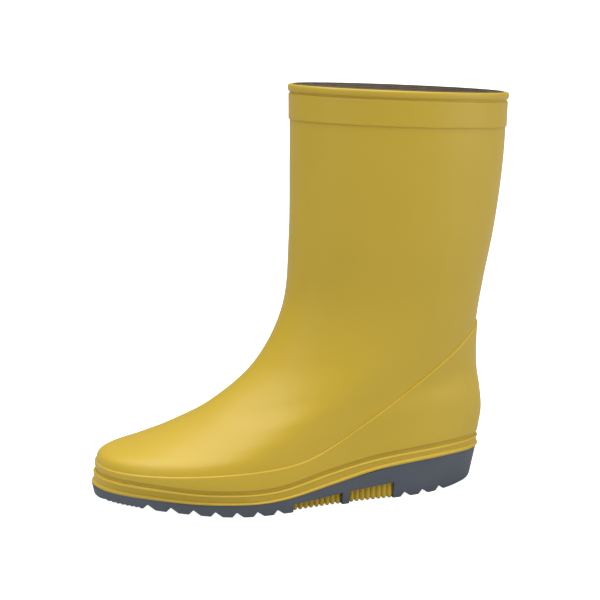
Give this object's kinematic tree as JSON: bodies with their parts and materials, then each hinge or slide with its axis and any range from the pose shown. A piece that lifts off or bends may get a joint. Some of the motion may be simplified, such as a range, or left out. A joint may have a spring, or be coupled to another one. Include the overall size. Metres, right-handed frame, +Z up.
{
  "type": "rubber rain boot",
  "caption": "Mid-calf rubber rain boot for a left foot, with a raised side panel, banded rim, knit lining, loose insole and a cleated sole with ribbed waist pads.",
  "frame": {"origin": "on the ground, under the middle of the boot's box", "axes": "+X towards the toe, +Y towards the outer side of the left foot, +Z up out of the leg opening"},
  "size_m": [0.2874, 0.1036, 0.276],
  "materials": {
    "upper_rubber": "yellow, satin moulded rubber",
    "sole_rubber": "blue-grey, matte moulded rubber",
    "lining_knit": "grey-brown ribbed knit",
    "stiffener": "dark rubberised cloth",
    "board": "pressed fibre board",
    "filler": "light cellular filler",
    "insole_cloth": "foam faced with brushed knit",
    "shank_steel": "plain spring steel"
  },
  "bodies": {
    "boot": {"leg_shell": "upper_rubber", "side_overlay": "upper_rubber", "foxing_strip": "upper_rubber", "welt_bead": "upper_rubber", "top_band": "upper_rubber", "rim_bead": "upper_rubber", "lining_leg": "lining_knit", "lining_foot": "lining_knit", "toe_puff": "stiffener", "heel_counter": "stiffener", "ankle_patch_outer": "stiffener", "ankle_patch_inner": "stiffener", "outsole": "sole_rubber", "waist_pad_rear": "upper_rubber", "waist_pad_front": "upper_rubber", "insole_board": "board", "shank": "shank_steel", "heel_filler": "filler", "forefoot_filler": "filler"},
    "insole": {"insole": "insole_cloth"}
  },
  "joints": [
    {"name": "insole_lift", "type": "hinge", "parent": "boot", "child": "insole", "pos_m": [0.13495, 0, 0.01823], "axis": [0, 1, 0], "range_deg": [0, 8]}
  ]
}
